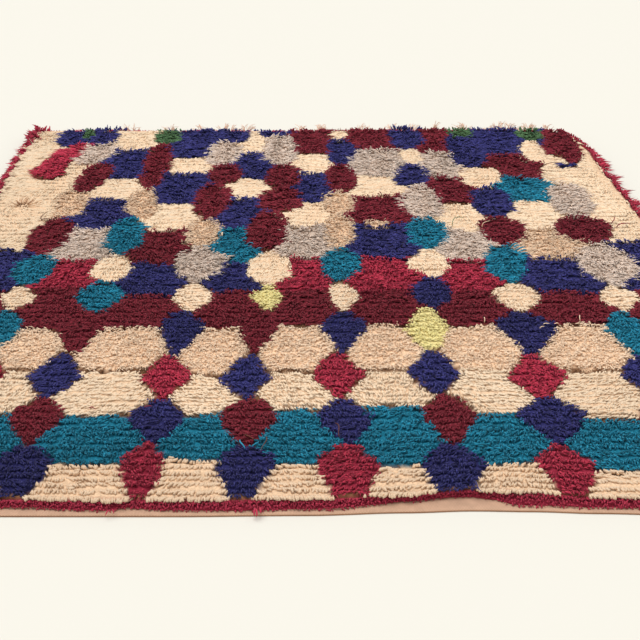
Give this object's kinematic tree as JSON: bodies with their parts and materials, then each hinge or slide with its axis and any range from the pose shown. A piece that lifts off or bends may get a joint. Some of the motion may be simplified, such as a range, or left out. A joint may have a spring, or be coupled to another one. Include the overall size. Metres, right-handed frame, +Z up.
{
  "type": "azilal rug",
  "caption": "Rectangular hand-knotted wool rug lying flat, with thick shaggy pile, a flat-woven hem at each end, locks at the sides and a warp fringe at the far end.",
  "frame": {"origin": "centre of the rug's plan, at the floor it lies on", "axes": "+Z up out of the pile, +Y along the rug's length from the near hem to the fringed far end, +X across it"},
  "size_m": [1.5482, 1.8114, 0.0311],
  "materials": {
    "pile_wool": "matte shaggy wool pile in cream, indigo, madder, crimson, teal, tan, grey and lime yarns",
    "warp_wool": "matte undyed wool warp ends"
  },
  "bodies": {
    "root": {"rug": "pile_wool", "far_fringe": "warp_wool"}
  },
  "joints": []
}
